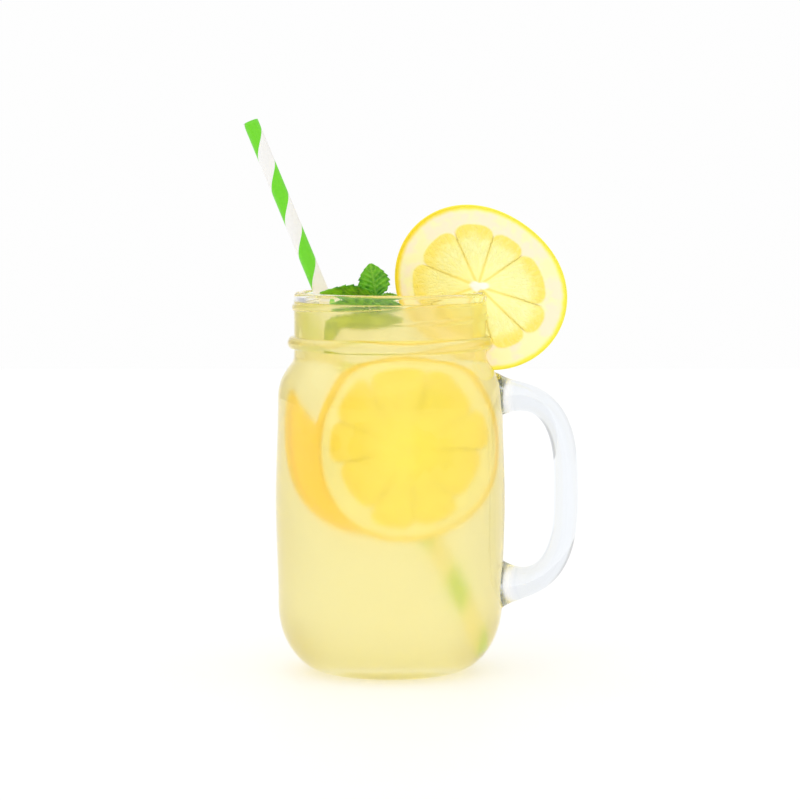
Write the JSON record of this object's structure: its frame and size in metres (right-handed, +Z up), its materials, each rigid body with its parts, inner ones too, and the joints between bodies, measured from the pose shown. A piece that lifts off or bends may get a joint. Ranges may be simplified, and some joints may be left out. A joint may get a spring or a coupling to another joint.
{
  "type": "glass of lemonade",
  "caption": "Handled glass jar of cloudy yellow lemonade with a striped paper straw, a lemon slice on the rim and a mint sprig.",
  "frame": {"origin": "centre of the ring that the jar stands on, on the jar's own axis", "axes": "+Z up along the jar's axis, +X towards the handle"},
  "size_m": [0.1188, 0.081, 0.1947],
  "materials": {
    "glass": "clear",
    "lemonade": "cloudy",
    "straw_paper": "striped",
    "lemon": "moist",
    "mint_leaf": "fresh"
  },
  "bodies": {
    "root": {"jar": "glass", "drink": "lemonade", "straw": "straw_paper", "lemon_slice": "lemon", "mint_sprig": "mint_leaf"}
  },
  "joints": []
}
